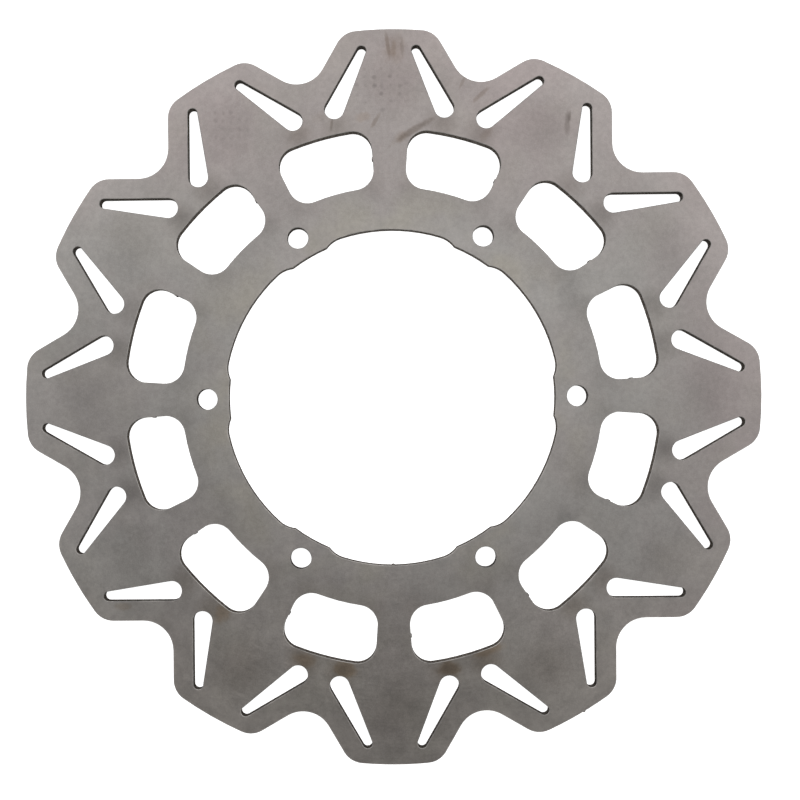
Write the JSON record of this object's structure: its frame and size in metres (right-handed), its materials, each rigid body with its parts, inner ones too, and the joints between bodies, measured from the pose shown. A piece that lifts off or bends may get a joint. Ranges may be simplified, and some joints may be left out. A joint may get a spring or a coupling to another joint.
{
  "type": "brake disc",
  "caption": "Flat motorcycle brake disc with a scalloped wave rim, tapered wiper slots, lightening windows, hub bolt holes and a relieved centring bore.",
  "frame": {"origin": "centre of the bore in the plane of the hub-side face", "axes": "+Z along the disc's axis from the hub-side face to the face under the bolt heads; +X through the middle of a lobe and of a bolt hole"},
  "size_m": [0.298, 0.298, 0.005],
  "materials": {
    "ground_steel": "ground, matte"
  },
  "bodies": {
    "root": {"brake_disc": "ground_steel"}
  },
  "joints": []
}
